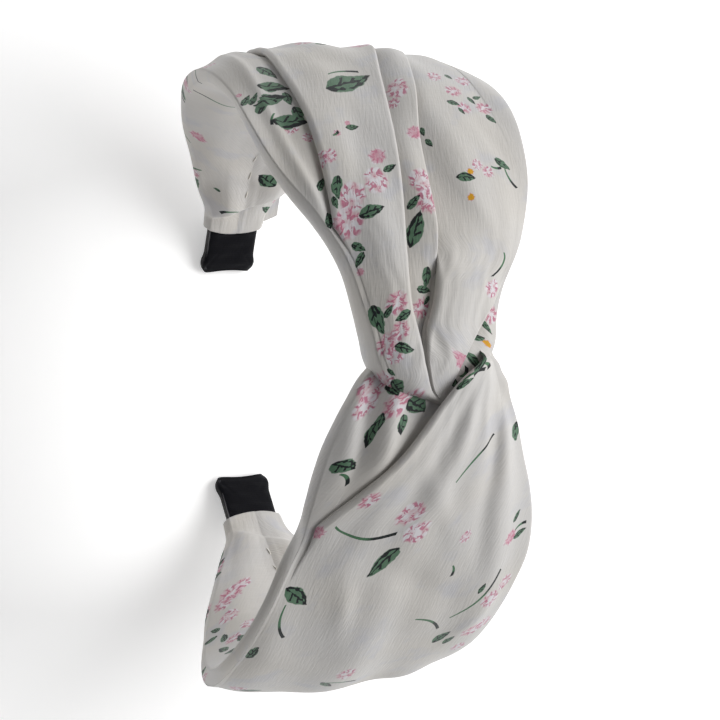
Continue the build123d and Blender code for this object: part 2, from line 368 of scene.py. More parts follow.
def lapped(base, left, left_rise, right, right_rise, reach, crown):
    """A panel between two creases: raised or sunk at either, and crowned in between."""
    width = max(right - left, 0.01)
    swell = crown * min(width / 9, 1.0)

    def height(across):
        from_left = max(across - left, 0.0)
        from_right = max(right - across, 0.0)
        middle = 4 * from_left * from_right / width**2
        rise = left_rise * math.exp(-from_left / reach) + right_rise * math.exp(-from_right / reach)
        return base(across) + rise + swell * min(middle, 1.0) ** 1.6

    return height


def hill(across, at, width):
    """A soft ridge of height 1."""
    return math.exp(-(((across - at) / width) ** 2))


def between(along, start, full, fade, gone):
    """How much of a fold there is: it grows from start to full, and dies from fade to gone."""
    return float(ease(along, start, full) * (1 - ease(along, fade, gone)))


R_START = -10.5
L_START = -2.6
OPEN_UNTIL = 1.2  # inside the knot each strip is only its outer face

# Wearer's right: both edges and the creases between its pleats, by distance down from the crown.
# Minus distances are past the crown, where its front half laps over the other strip.
R_FRONT = curve(
    (-10.5, -1.2), (-9.3, -2.4), (-8.3, -5.0), (-6.5, -10.4), (-4, -13.4), (-1.3, -15.0),
    (5, -16.2), (11, -17.0), (22, -18.8), (27, -20.6), (31, -22.6), (38, -26.4), (45, -29.4),
    (56, -31.6), (67, -31.4), (92, -30), (112, -26.5), (128, -21.5), (142, -15.4), (154, -10.6),
    (159, -8.3), (165, -7.7),
)
R_BACK = curve(
    (-9, 3), (-4, 9.5), (0, 12.4), (7, 14.4), (12, 16.8), (15.3, 18.6), (24.8, 24.8), (35, 29.6),
    (51, 33.6), (67, 35.4), (92, 34), (112, 29), (128, 23.5), (140, 18.4), (148, 14.6),
    (155, 10.9), (160.5, 8.4), (165, 7.7),
)
R_PLEAT = curve(
    (16, -17.6), (26, -20.0), (34, -19.9), (49, -19.5), (74, -18.6), (92, -16), (125, -8),
)
R_RIDGE = curve(
    (-9, -1.8), (-7.3, -3.4), (-2.8, -5.4), (0.3, -6.2), (4.5, -6.6), (8.6, -7.1), (19, -6.0),
    (33, -3.4), (47, -0.7), (66, 3.9), (90, 12), (125, 8),
)
R_ROLL = curve(
    (-9, -1.5), (-7.3, -2.8), (-2.8, -4.6), (0.3, -5.2), (5, -4.6), (9.6, -2.5), (15.8, -0.3),
    (24.8, 2.3), (37, 4.2), (51, 6.9), (66, 12), (90, 19), (125, 13),
)
R_FLAP = curve(
    (-9, 0), (-5, 1.8), (1.7, 5.8), (6, 9.4), (10, 13.4), (14, 16.5), (20, 20.5), (40, 29),
)
# Its height in the middle and at both edges, and how far its back edge sinks at the knot.
R_TOP = curve(
    (-10.5, 6.8), (-9, 7.9), (-5, 9.6), (0, 10.4), (8, 9.6), (20, 8.2), (40, 7.4), (66, 8.4),
    (78, 9.4), (90, 9.0), (115, 7.4), (140, 5.4), (152, 4.6), (159, 3.2), (165, 2.7),
)
R_SIDE = curve(
    (-10.5, 4.6), (-9, 5.8), (-4, 7.0), (2, 7.4), (12, 5.4), (25, 4.2), (50, 3.9), (80, 3.9),
    (110, 3.2), (140, 2.4), (165, 1.5),
)
R_SINK = curve((-9, -3.0), (-4, -2.6), (2, -1.5), (12, 0.0))


def right_section(along):
    """The right strip's outer face: front pleat, middle pleat, roll, big panel and flap."""
    front, back = float(R_FRONT(along)), float(R_BACK(along))
    base = dome(float(R_SIDE(along)), float(R_TOP(along)), front, back)
    sink = float(R_SINK(along))
    pleat_on = between(along, 20, 32, 88, 118)
    ridge_on = between(along, -10, -3, 66, 112)
    over_on = between(along, 16, 25, 62, 100)
    roll_on = between(along, -2, 6, 13, 22)
    valley_on = between(along, -2, 6, 62, 100)
    flap_on = between(along, -9, 0, 11, 20)
    edge_on = between(along, 24, 38, 84, 110)
    pleat = max(float(R_PLEAT(along)), front + 1.0)
    ridge = max(float(R_RIDGE(along)), pleat + 0.6)
    roll = max(float(R_ROLL(along)), ridge + 0.7)
    flap = min(max(float(R_FLAP(along)), roll + 0.6), back - 0.6)
    edge = pleat + 0.56 * (front - pleat)

    def lowered(across):
        return base(across) + sink * ease(across, front, back)

    def front_panel(across):
        plain = lapped(lowered, front, 0, pleat, -1.2 * pleat_on, 1.8, 0.2)
        return plain(across) + 0.8 * edge_on * hill(across, edge, 1.5)

    line = Section()
    line.panel(front, pleat, 22, front_panel)
    radius = FAINT + 0.75 * pleat_on
    high = float(lowered(pleat)) + 0.9 * pleat_on
    line.fold_up(pleat, line.points[-1][1], high, radius, 1.6 * pleat_on, pleat_on)

    start = pleat + radius
    middle_pleat = lapped(lowered, start, 0.9 * pleat_on, ridge, 0.9 * ridge_on, 5.0, 0.5)
    line.panel(start, ridge - FAINT - 0.85 * ridge_on, 44, middle_pleat)
    radius = FAINT + 0.85 * ridge_on
    low = float(lowered(ridge)) - 1.7 * ridge_on
    line.fold(ridge, line.points[-1][1], radius, 1.4 * ridge_on, low, ridge_on)

    start = ridge - 1.2 * ridge_on
    end = roll - FAINT - 0.6 * over_on + 0.9 * roll_on
    end_rise = 0.4 * over_on - 2.2 * roll_on
    under_ridge = lapped(lowered, ridge, -1.7 * ridge_on, roll, end_rise, 3.4, 0.5 * over_on)
    line.panel(start, end, 18, under_ridge)
    radius = FAINT + 0.65 * over_on
    low = float(lowered(roll)) - 1.9 * valley_on
    line.fold(roll, line.points[-1][1], radius, 1.3 * over_on, low, valley_on)
    radius = FAINT + 1.1 * roll_on
    high = float(lowered(roll)) + 0.7 * roll_on - 1.7 * over_on
    line.fold_up(roll, low, high, radius, 1.6 * roll_on, valley_on)

    start = roll + radius
    start_rise = 0.7 * roll_on - 1.7 * over_on
    swell = 0.9 * flap_on + 0.5 * over_on
    big_panel = lapped(lowered, start, start_rise, flap, 0.9 * flap_on, 4.2, swell)
    line.panel(start, flap - FAINT - 0.7 * flap_on, 46, big_panel)
    radius = FAINT + 0.7 * flap_on
    low = float(lowered(flap)) - 1.9 * flap_on
    line.fold(flap, line.points[-1][1], radius, 1.2 * flap_on, low, flap_on)

    under_flap = lapped(lowered, flap, -1.9 * flap_on, back, 0, 4.0, 0.3 * flap_on)
    line.panel(flap - 1.0 * flap_on, back, 16, under_flap)
    line.smooth_out()
    return line, front, back


# Wearer's left: the back half is one big panel folded over along a diagonal, from the back of the
# knot to the front edge, and the front half comes out from under it and from under the knot.
L_FRONT = curve(
    (-2.6, -11.6), (1.3, -14.2), (2.9, -16.0), (8.6, -20.0), (13.5, -22.8), (19, -25.4),
    (24.6, -27.2), (31, -28.6), (37, -30.0), (44, -33.2), (54, -36), (64, -37.8), (74, -38.6),
    (94, -36.6), (112, -31.6), (128, -24.8), (142, -17.6), (154, -11.2), (159, -8.4), (165, -7.7),
)
L_BACK = curve(
    (-2.6, 13.1), (0, 13.4), (1.7, 13.8), (4.5, 15.0), (8.9, 16.2), (13.6, 18.2), (22.2, 21.0),
    (28.9, 23.4), (36, 25.2), (45, 26.0), (54, 25.0), (64, 23.8), (80, 22.8), (94, 22.4),
    (112, 21.4), (128, 19), (142, 15.6), (150, 13.4), (156.5, 10.4), (161, 8.4), (165, 7.7),
)
L_DIAGONAL = curve(
    (-2.6, 8.2), (-0.8, 8.8), (1.7, 6.9), (4.5, 2.6), (9, -2.4), (14, -7.0), (19.5, -12.0),
    (24, -17.0), (27.7, -21.0), (31, -24.7), (34, -27.6), (40, -31.0), (60, -36), (165, -8),
)
L_DART = curve(
    (2, -12.6), (4.5, -14.2), (9, -16.0), (13, -17.4), (20, -19.5), (34, -26), (60, -34),
)
L_SOFT = curve(
    (-2.6, 11.2), (4.5, 12.2), (9, 13.2), (18, 12.4), (30, 11.0), (50, 12), (90, 12), (165, 3),
)
# Its height in the middle and at both edges, and how far the front half lies below the big panel.
L_TOP = curve(
    (-2.6, 8.4), (0, 9.6), (4, 10.6), (10, 10.2), (20, 9.2), (40, 8.2), (66, 8.6), (90, 9.0),
    (115, 7.4), (140, 5.4), (152, 4.6), (159, 3.2), (165, 2.7),
)
L_SIDE = curve(
    (-2.6, 7.0), (4, 7.0), (12, 5.4), (25, 4.5), (50, 4.8), (80, 4.8), (100, 4.2), (140, 2.4),
    (165, 1.5),
)
L_UNDER = curve(
    (-2.6, 5.6), (2, 5.0), (9, 4.4), (14, 2.7), (20, 1.7), (28, 1.1), (36, 0.7), (46, 0.0),
)


def left_section(along):
    """The left strip's outer face: front half with its dart, diagonal fold, big panel."""
    front, back = float(L_FRONT(along)), float(L_BACK(along))
    edge_on = between(along, 32, 44, 96, 120)
    base = dome(float(L_SIDE(along)), float(L_TOP(along)), front, back, 2.4 + 0.6 * edge_on)
    under = float(L_UNDER(along))
    diagonal = min(max(float(L_DIAGONAL(along)), front + 1.6), back - 0.4)
    lap = float(1 - ease(along, 31, 41))
    dart = between(along, 0, 5, 14, 28)
    dart_at = max(min(float(L_DART(along)), diagonal - 1.2), front + 0.6)
    soft = float(1 - ease(along, 16, 50))
    soft_at = min(max(float(L_SOFT(along)), diagonal + 1.0), back - 1.0)

    def sunk(across):
        banks = hill(across, dart_at + 4.2, 2.6) + 0.6 * hill(across, dart_at - 3.5, 2.4)
        swell = 1.2 * dart * banks
        return base(across) - under + swell - 1.2 * dart * hill(across, dart_at, 2.2)

    def fanned(across):
        fan = (across - diagonal) / max(back - diagonal, 0.01)
        broad = 0.42 * math.sin(5.2 * math.pi * fan + 0.6)
        ripple = broad + 0.25 * math.sin(9.4 * math.pi * fan + 2)
        fading = float(ease(along, 3, 14) * (1 - 0.7 * ease(along, 18, 60)))
        shown = ripple * fading * min(8 * fan * (1 - fan), 1.0)
        return base(across) + shown - 0.9 * soft * hill(across, soft_at, 2.2)

    line = Section()
    before_dart = lapped(sunk, front, 0.45 * edge_on, dart_at, 0, 1.6, 0.3)
    line.panel(front, dart_at, 18, before_dart)
    after_dart = lapped(sunk, dart_at, 0, diagonal, -0.5 * lap, 0.9, 0.2)
    line.panel(dart_at, diagonal + 1.2 * lap - FAINT * (1 - lap), 34, after_dart, joined=True)
    radius = FAINT + lap * (0.6 + 0.4 * float(ease(along, -1, 5)))
    high = float(base(diagonal)) + 0.7 * lap
    line.fold_up(diagonal, line.points[-1][1], high, radius, 2.6 * lap, lap)

    start = diagonal + radius
    big_panel = lapped(fanned, start, 0.7 * lap, soft_at, 0, 5.0, 0.5 * soft)
    line.panel(start, soft_at, 74, big_panel)
    beyond = lapped(fanned, soft_at, 0, back, 0, 4.0, 0.5 * soft)
    line.panel(soft_at, back, 26, beyond, joined=True)
    line.smooth_out()
    return line, front, back


# The inner face: its height in the middle, at both rims, and how far it sags in between.
INNER_DEPTH = curve(
    (-9, -2.6), (20, -3.0), (40, -3.2), (100, -3.2), (140, -3.1), (157, -2.7), (165, -2.5),
)
INNER_RIM = curve(
    (-9, -2.4), (20, -2.2), (34, -1.2), (48, 0.6), (96, 1.2), (120, 0.2), (140, -1.4), (165, -2.0),
)
INNER_SLACK = curve((20, 0.0), (60, 0.5), (100, 0.8), (130, 1.2), (146, 1.6), (157, 0.6), (163, 0))
INNER_CLEAR = -1.95  # never nearer the hoop than the outside of the ribbon end
RIM_IN = 0.7  # the inner face's rims, inwards of the outer face's
WALL_BULGE = 0.9
# How far the cloth hangs over its cuff, and how far its front wall is hollowed.
OVERHANG = {-1: 2.8, 1: 1.2}
HOLLOW = {-1: 0.7, 1: 2.1}


def close_section(line, along, front, back, side):
    """Adds both side walls and the inner face, from the seam in the middle and back to it."""
    depth, rim = float(INNER_DEPTH(along)), float(INNER_RIM(along))
    slack = float(INNER_SLACK(along))
    hollow = HOLLOW[side] * between(along, 30, 46, 110, 136)

    def inner(across):
        t = min(abs(across / (front if across < 0 else back)), 1.0)
        bag = slack * math.sin(math.pi * t) ** 2
        # The cloth bags out and hangs over where the cuff grips it, on a slant.
        brink = 156.6 - 0.42 * across
        hang = between(along, brink - 13, brink - 2, brink - 0.6, brink + 1.6)
        puff = OVERHANG[side] * hang * (1 - 0.5 * t**4)
        # Beside the hoop it may come a little higher than right under it.
        clear = INNER_CLEAR + 0.3 * max(abs(across) - 8.0, 0.0)
        return min(depth + (rim - depth) * t**3 - bag - puff, clear)

    def under_lap(across):
        # The back edge goes in under the front one at the seam.
        return inner(across) + 0.32 * float(1 - ease(across, -0.2, 2.0))

    outer = line.points
    line.points = []
    front_rim, back_rim = front + RIM_IN, back - RIM_IN
    line.panel(SEAM_LAP / 4, front_rim, 46, inner)
    line.wall((front_rim, inner(front_rim)), outer[0], hollow - WALL_BULGE)
    first = len(line.points)
    line.points += outer
    last = len(line.points)
    line.wall(outer[-1], (back_rim, inner(back_rim)), WALL_BULGE)
    line.panel(back_rim, SEAM_LAP / 4 - SEAM_LAP, 46, under_lap)
    return first, last


def undulate(along, across, draw, size):
    """Slow unevenness of loose cloth."""
    total = np.zeros_like(across)
    for wave in range(9):
        length = draw.uniform(10, 36)
        turn = draw.uniform(-0.9, 0.9)
        shift = draw.uniform(0, 2 * math.pi)
        run = across * math.cos(turn) + 0.45 * along * math.sin(turn)
        total += np.sin(run * 2 * math.pi / length + shift)
    return total * size / 3


# Single dents and soft ridges: along, across, turn in degrees, height, half width, half length.
RUMPLES = {
    -1: (
        (-24, 3, -8, 0.5, 2.2, 9), (-40, -12, 14, -0.45, 2.6, 12), (-62, 12, 20, 0.6, 3.2, 10),
        (-50, 24, -14, -0.5, 3.0, 12), (-30, 14, -22, 0.45, 2.6, 10), (-74, -8, 80, -0.5, 3.6, 9),
        (-84, 22, 70, 0.6, 3.6, 11), (-100, -14, 60, 0.7, 3.2, 10), (-112, 12, 115, -0.7, 3.4, 10),
        (-126, -10, 60, 0.6, 3.0, 9), (-136, 8, 100, -0.6, 3.0, 8), (-146, 0, 75, 0.5, 2.4, 8),
    ),
    1: (
        (53, -19, 8, 0.8, 2.6, 8), (47, -4, 58, -0.55, 3.6, 13), (29, -1, 32, 0.5, 2.8, 10),
        (42, 12, 12, -0.5, 3.0, 12), (66, 4, 78, -0.6, 3.6, 12), (72, -24, 66, 0.5, 3.4, 10),
        (60, 17, -24, 0.5, 2.6, 9), (36, -22, 140, -0.45, 2.8, 9), (20, -17, 120, 0.5, 2.4, 8),
        (88, 6, 96, 0.7, 3.6, 11), (104, -16, 64, -0.7, 3.4, 10), (116, 10, 110, 0.6, 3.2, 9),
        (130, -8, 80, -0.6, 3.0, 9), (144, 3, 98, 0.5, 2.6, 8),
    ),
}


def rumple(side, along, across):
    """The sum of one strip's dents and ridges."""
    total = np.zeros_like(across)
    for s, y, turn, high, half_width, half_length in RUMPLES[side]:
        turn = math.radians(turn)
        ds, dy = along - abs(s), across - y
        length = (ds * math.cos(turn) + dy * math.sin(turn)) / half_length
        width = (dy * math.cos(turn) - ds * math.sin(turn)) / half_width
        total += high * np.exp(-(length**2) - width**2)
    return total


def gathers(along, round_strip, draw):
    """Fine folds that run with the cloth and crowd together at the knot and at the cuff."""
    total = np.zeros_like(along)
    for count in (11, 17, 23, 31, 43):
        shift = draw.uniform(0, 2 * math.pi)
        drift = draw.uniform(-0.02, 0.02)
        total += np.sin(2 * math.pi * count * round_strip + shift + drift * along) / (count / 17)
    near_knot = 0.06 * (1 - ease(along, 4, 34)) * ease(along, -6, 4)
    near_cuff = 0.008 * ease(along, 130, 156) * (1 - 0.6 * ease(along, 159, 163))
    return total * (near_knot + near_cuff + 0.01)


def cloth_rows(start):
    """Distances of the crosswise lines, closer together near the knot and the cuff."""
    rows = list(np.arange(start, 30, ROW_NEAR_KNOT))
    rows += list(np.arange(30, 142, ROW_STEP))
    rows += list(np.arange(142, CUFF_AT - 0.3, ROW_NEAR_CUFF))
    return rows + [CUFF_AT]


def make_cloth(side, section, start):
    """One strip of cloth as a mesh, and where each of its points lies on the flat cloth."""
    rows = cloth_rows(start)
    draw = random.Random(8 + side)
    grid = []
    for along in rows:
        line, front, back = section(along)
        first, last = close_section(line, along, front, back, side)
        grid.append(line.points)
    grid = np.array(grid)
    columns = grid.shape[1]
    along = np.repeat(np.array(rows)[:, None], columns, axis=1)
    across, height = grid[:, :, 0].copy(), grid[:, :, 1].copy()
    # The knot and the cuff hold the cloth still; it is loose in between.
    loose = ease(along, 0, 20) * (1 - 0.7 * ease(along, 150, 160))
    height += undulate(along, across, draw, 0.5) * loose
    width = np.hypot(np.diff(across, axis=1), np.diff(height, axis=1)).cumsum(axis=1)
    round_strip = np.pad(width / width[:, -1:], ((0, 0), (1, 0)))
    folds = gathers(along, round_strip, draw) * (1 if side < 0 else 0.6)
    folds = folds + rumple(side, along, across)
    # Outwards is up on the outer face and down on the inner one; it turns over along the walls.
    turning = [first - WALL_STEPS, first, last - 1, last + WALL_STEPS - 1]
    outwards = np.interp(np.arange(columns), turning, [-1, 1, 1, -1])
    height += outwards * folds
    # The cuff's edge runs in a shallow arc.
    along = along + 1.1 * ease(along, 157, CUFF_AT) * (1 - (across / CUFF_HALF) ** 2)
    if side > 0:
        # The big panel starts on a slant where it turns under behind the knot, with a round corner.
        height -= 2.4 * np.maximum(outwards, 0) * (1 - ease(along, start, 0.4))
        corner = 0.9 * np.exp(-(((across - 8.0) / 2.8) ** 2)) * (1 - ease(along, start, 5))
        slant = 0.5 * np.maximum(across - 8.0, 0) * (1 - ease(along, start, 9))
        along = along + slant + corner

    # The cuff is turned in, and so is the end that shows at the knot.
    knot_end = (along[0], across[0], height[0])
    cuff_end = (along[-1], across[-1], height[-1])
    for step, inwards in HEM:
        along = np.vstack([along, cuff_end[0] + step])
        across = np.vstack([across, cuff_end[1] * (1 - inwards / CUFF_HALF)])
        height = np.vstack([height, cuff_end[2] * (1 - inwards / 2.6)])
    for step, inwards in KNOT_HEM:
        along = np.vstack([knot_end[0] + step, along])
        across = np.vstack([knot_end[1] * (1 - inwards / 12), across])
        height = np.vstack([knot_end[2] * (1 - inwards / 8), height])
    points = on_hoop(side * along, height, across)

    length = np.linalg.norm(np.diff(points, axis=1), axis=2) / MM
    spread = np.pad(length.cumsum(axis=1), ((0, 0), (1, 0)))
    middle = (first + last) // 2
    spread -= spread[:, middle : middle + 1]
    faces = []
    for row in range(len(points) - 1):
        open_below = along[row, middle] < OPEN_UNTIL
        for column in range(columns - 1):
            if open_below and not (first - 14 <= column < last + 13):
                continue
            a = row * columns + column
            quad = (a, a + 1, a + columns + 1, a + columns)
            faces.append(quad if side < 0 else quad[::-1])
    piece = mesh_piece(f"{SIDES[side]}_cloth", points, faces)
    flat = {
        "along": along,
        "across": across,
        "height": height,
        "spread": spread,
        "outer": (first, last),
        "rows": slice(len(KNOT_HEM), len(KNOT_HEM) + len(rows)),
        "side": side,
    }
    return piece, flat


STRIPS = (
    make_cloth(-1, right_section, R_START),
    make_cloth(1, left_section, L_START),
)
for piece, flat in STRIPS:
    side = flat["side"]
    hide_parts(f"cloth_{SIDES[side]}_crown", f"cloth_{SIDES[side]}_leg")
    start = tuple(on_hoop(side * BEND_FROM, 0, 0))
    end = tuple(on_hoop(side * BEND_TO, 0, 0))
    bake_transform(piece)

# ---- The floral print ---------------------------------------------------------------------
# The crepe is screen printed: small loose clusters of pink blossom in fine lines over a pale wash,
# dark-veined green leaves, thin stems, a few yellow dabs, and faint grey ghosts of the same sprigs.
# Each motif has its place on the cloth, so it bends with the folds and is lost under the pleats.
BLOOM_LAYERS = 2
LEAF_LAYERS = 3
STEM_LAYERS = 2
PINK = 0.0
YELLOW = 1.0
DAB = 2.0
PAST_CROWN = -11.0  # as far over the crown as the right strip's front half reaches
SPRIG_ALONG = 13.0
SPRIG_ACROSS = 12.0

# Along (minus on the wearer's right), across, radius, kind.
BLOOMS = [
    (-62.4, 6.2, 3.0, PINK), (-58.3, 3.5, 1.5, PINK), (-42.3, -6.7, 2.0, DAB),
    (-36.3, -9.2, 3.0, PINK), (-33.4, -15.4, 3.2, PINK), (-28.0, -17.1, 3.4, PINK),
    (-42.9, -17.8, 1.7, PINK), (-51.3, -10.5, 0.8, DAB), (-48.4, -14.4, 0.9, PINK),
    (-36.3, 1.5, 3.0, PINK), (-31.1, 1.7, 2.8, PINK), (-49.1, 5.0, 1.9, DAB),
    (-69.0, 19.2, 2.1, PINK), (-69.3, 27.0, 2.1, PINK), (-63.3, 21.4, 2.2, PINK),
    (-57.3, 21.5, 1.9, PINK), (-58.6, 27.1, 2.2, PINK), (-40.2, 17.0, 1.5, PINK),
    (-38.6, 19.4, 1.6, PINK), (-38.1, 14.2, 0.9, YELLOW), (-31.9, 12.4, 0.9, YELLOW),
    (-10.6, -10.8, 2.4, PINK), (-5.3, -10.9, 2.0, PINK), (-9.4, -4.6, 2.1, PINK),
    (-2.8, -14.0, 2.3, PINK), (-0.6, -12.6, 1.8, PINK), (-12.4, 12.6, 2.0, PINK),
    (-7.8, 12.6, 2.0, PINK), (1.1, 2.8, 2.0, DAB), (-1.8, 10.9, 1.0, YELLOW),
    (-17.6, -16.5, 0.9, DAB), (-52.9, -22.6, 1.9, PINK), (-49.7, -19.9, 1.3, PINK),
    (-42.5, -19.9, 2.0, PINK), (-28.4, -19.4, 1.5, PINK), (-65.7, -30.5, 0.8, DAB),
    (-89.4, -28.6, 1.8, PINK), (5.6, -15.4, 3.4, PINK), (9.5, -17.6, 2.4, PINK),
    (8.7, -11.5, 2.9, PINK), (34.7, -27.4, 1.5, DAB), (27.2, -17.6, 1.9, PINK),
    (30.7, -8.0, 2.7, PINK), (34.9, -5.8, 2.7, PINK), (37.3, 6.6, 1.4, PINK),
    (39.7, 19.4, 1.8, DAB), (55.2, 18.4, 2.4, PINK), (51.9, 21.8, 1.9, PINK),
    (65.8, 17.2, 2.7, PINK), (64.6, 20.4, 2.1, PINK), (73.6, 17.6, 2.0, PINK),
    (75.1, -10.9, 2.5, PINK),
]
# The same on the inner face.
INNER_BLOOMS = [
    (-130.9, -17.6, 2.0, DAB), (-155.5, 10.5, 2.0, PINK), (140.1, -11.0, 2.3, PINK),
    (136.9, -15.0, 3.3, PINK), (127.0, -19.0, 2.8, PINK), (133.3, -18.6, 2.3, PINK),
    (114.0, -22.8, 2.2, PINK), (120.0, -16.0, 2.6, PINK),
]
# Along, across, length, and turn in degrees from along the hoop.
LEAVES = [
    (-72.8, -21.3, 6.4, 41), (-66.4, -22.2, 7.4, 84), (-63.2, -30.0, 3.6, 156),
    (-63.0, -28.0, 3.4, 149), (-60.7, -27.2, 5.4, 157), (-61.8, -24.6, 7.6, 100),
    (-54.5, -22.0, 8.0, 83), (-56.4, -19.9, 5.2, 20), (-61.8, -20.2, 4.6, 15),
    (-37.8, -20.4, 3.4, 150), (-35.1, -18.5, 3.6, 13), (-29.5, -20.3, 3.8, 29),
    (-64.1, -5.1, 11.4, 112), (-50.3, -10.2, 3.0, 97), (-36.0, -18.1, 4.4, -8),
    (-32.6, -19.3, 2.6, 18), (-29.6, -12.0, 5.4, 101), (-39.2, -5.2, 3.0, 111),
    (-31.6, -1.2, 3.6, 129), (-25.8, -2.4, 7.4, 160), (-22.7, -16.1, 3.2, 58),
    (-50.2, 7.9, 2.2, 10), (-46.9, 8.0, 2.4, 30), (-58.5, 18.8, 3.2, 77), (-56.0, 19.9, 2.2, 38),
    (-60.6, 24.7, 2.7, 41), (-62.5, 27.4, 2.6, 123), (-55.2, 27.7, 3.2, 47),
    (-70.1, 23.5, 2.6, 47), (-36.7, 12.8, 4.4, 84), (-41.5, 24.8, 4.4, 60),
    (-20.1, -16.2, 3.2, -32), (-7.6, -15.2, 6.0, 26), (-7.8, -10.1, 3.4, -62),
    (-1.7, -10.7, 4.0, 77), (-15.5, -2.0, 4.0, -4), (-13.1, -3.0, 3.2, 81),
    (-10.9, -2.8, 2.0, -38), (-8.9, -12.8, 2.6, 145), (-3.2, 8.5, 3.4, 82), (-5.0, 11.2, 2.8, 10),
    (1.7, 7.6, 5.0, 11), (5.4, 2.4, 3.0, 120), (2.6, -13.2, 1.8, 47), (5.7, -11.4, 4.8, 56),
    (9.4, -6.4, 6.0, 67), (12.7, -15.4, 4.0, 12), (15.0, -17.1, 4.6, 11), (12.9, -10.3, 4.0, 30),
    (16.5, 18.2, 4.6, 40), (21.0, -22.3, 5.6, 83), (49.4, -30.1, 7.0, 55),
    (65.6, -36.2, 4.4, 166), (41.7, -12.0, 7.4, -30), (81.0, -13.6, 4.0, 51),
    (35.1, 20.3, 2.6, 152), (39.6, 22.4, 3.2, 118), (51.4, 14.7, 2.6, 168),
    (67.2, 10.4, 4.6, 146), (68.7, 12.8, 3.2, 150), (99.0, -34.6, 3.4, 30),
    (92.0, -35.6, 2.6, 70),
]
INNER_LEAVES = [
    (-146.0, 4.6, 6.4, 70), (-158.4, 8.0, 4.0, 60), (-150.2, -8.0, 1.6, 79),
    (123.2, -24.0, 3.2, 60), (110.1, -26.5, 4.4, 36), (117.0, -23.5, 4.0, 20),
    (112.0, -21.0, 5.0, 30), (105.5, -26.0, 5.2, 80), (119.5, -26.5, 3.8, 100),
]
# Along, across, length, turn, and the side it bows to.
STEMS = [
    (-68.2, -4.8, 8.0, 101, -1), (-55.7, -26.4, 3.4, -11, 1), (-40.1, 22.4, 3.0, 93, 1),
    (-38.0, 25.3, 5.6, 29, 1), (3.7, 5.0, 4.4, 115, 1), (2.3, 8.8, 2.3, 66, 1),
    (-17.6, 16.8, 5.2, 4, -1), (20.2, 6.8, 9.4, 157, 1), (23.4, -22.4, 4.4, 59, 1),
    (35.1, -17.6, 15.0, 83, -1), (56.1, -32.4, 9.6, 18, -1), (80.4, -10.2, 10.0, 76, 1),
    (54.0, 14.9, 14.4, 150, -1), (60.3, 4.7, 9.6, 59, 1), (37.7, 21.9, 3.2, 110, 1),
    (-48.2, -14.6, 1.8, 127, 1), (45.5, 6.0, 3.0, 20, 1),
]
INNER_STEMS = [(-108.3, -20.0, 9.8, 70, -1), (-156.6, -3.9, 6.0, 93, 1)]


def scattered(side, draw, low, high, front, back):
    """Sprigs over the parts not laid out above, in the same mixture: blossom, leaves and stems."""
    blooms, leaves, stems = [], [], []
    for along in np.arange(low, high, SPRIG_ALONG):
        for across in np.arange(front, back + 1, SPRIG_ACROSS):
            s = along + draw.uniform(-4, 4)
            y = across + draw.uniform(-4, 4)
            if draw.random() < 0.25:
                length, turn = draw.uniform(4, 9), draw.uniform(-180, 180)
                stems.append((side * s, y, length, turn, draw.choice((-1, 1))))
                continue
            for bloom in range(draw.choice((1, 2, 3, 3))):
                turn, far = draw.uniform(0, 2 * math.pi), draw.uniform(1.5, 4.0)
                place = (side * (s + far * math.cos(turn)), y + far * math.sin(turn))
                blooms.append((*place, draw.uniform(1.5, 3.0), PINK))
            for leaf in range(draw.choice((1, 2, 3))):
                turn, far = draw.uniform(0, 2 * math.pi), draw.uniform(4.0, 6.0)
                place = (side * (s + far * math.cos(turn)), y + far * math.sin(turn))
                length = draw.uniform(2.6, 6.0)
                leaves.append((*place, length, math.degrees(turn) + draw.uniform(-40, 40)))
    return blooms, leaves, stems


def on_cloth(flat, along, across, inside):
    """How far across the flat cloth a point lies that is seen from outside, or from the head."""
    middle = flat["along"][flat["rows"], flat["along"].shape[1] // 2]
    row = flat["rows"].start + int(np.argmin(np.abs(middle - along)))
    first, last = flat["outer"]
    columns = np.arange(flat["along"].shape[1])
    outer = (columns >= first - 6) & (columns < last + 6)
    height = flat["height"][row] * (-1 if inside else 1)
    miss = np.abs(flat["across"][row] - across)
    # Of the layers of a fold, the outermost is the one that is seen.
    score = miss - 0.15 * height * (miss < 1.2)
    score[outer if inside else ~outer] = np.inf
    return flat["spread"][row, int(np.argmin(score))]


NO_MOTIF = -1
OFF_MOTIF = (9.0, 9.0, 0.0)  # well outside the motif's own circle, where nothing is painted


